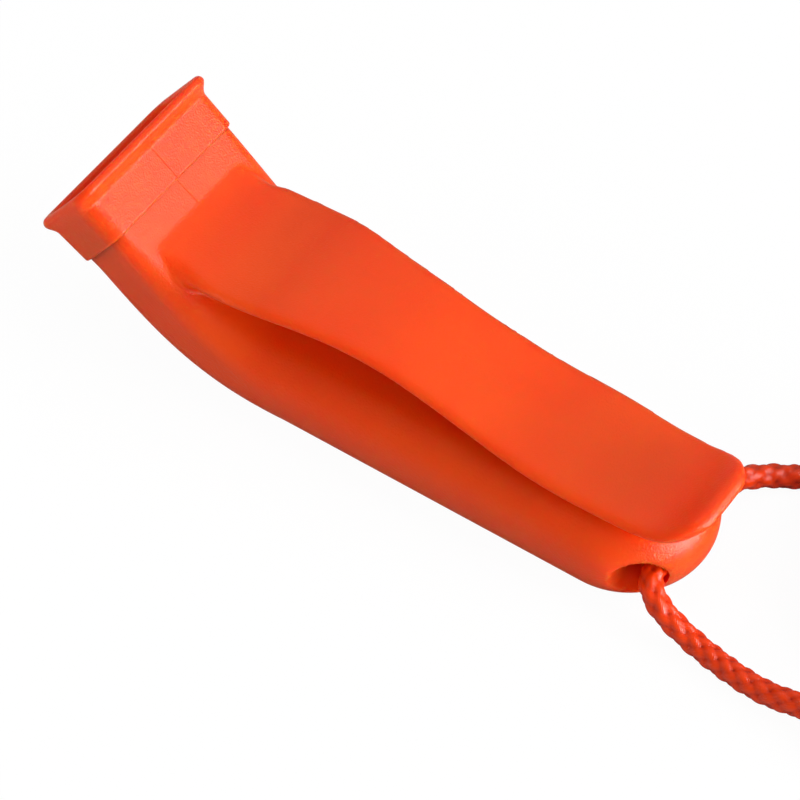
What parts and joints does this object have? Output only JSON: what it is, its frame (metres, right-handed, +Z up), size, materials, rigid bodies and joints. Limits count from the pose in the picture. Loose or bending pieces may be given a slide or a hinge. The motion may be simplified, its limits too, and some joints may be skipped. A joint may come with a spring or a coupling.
{
  "type": "training whistle",
  "caption": "Flat moulded whistle with a raised mouthpiece, sound windows underneath, a spring clip along its back and a braided neck cord through its tail.",
  "frame": {"origin": "on the table plane, under the middle of the whistle's length between the rim and the clip's tip", "axes": "+X from the mouthpiece towards the tail, +Z up out of the clip side, +Y across"},
  "size_m": [0.1278, 0.05, 0.025],
  "materials": {
    "orange_plastic": "spark-eroded satin moulding in orange polypropylene",
    "braided_cord": "braided glossy polyester cord",
    "black_tie": "black woven tie band"
  },
  "bodies": {
    "whistle": {"body": "orange_plastic", "base_cover": "orange_plastic", "windway_block": "orange_plastic", "mouthpiece": "orange_plastic", "cord_near_run": "braided_cord", "cord_far_run": "braided_cord", "cord_tail_run": "braided_cord", "cord_coil": "braided_cord", "cord_knot": "braided_cord", "coil_tie": "black_tie"},
    "clip": {"clip": "orange_plastic"}
  },
  "joints": [
    {"name": "clip_flex", "type": "hinge", "parent": "whistle", "child": "clip", "pos_m": [-0.01828, 0, 0.01674], "axis": [0, -1, 0], "range_deg": [0, 8], "stiffness_Nm_per_rad": 0.4}
  ]
}
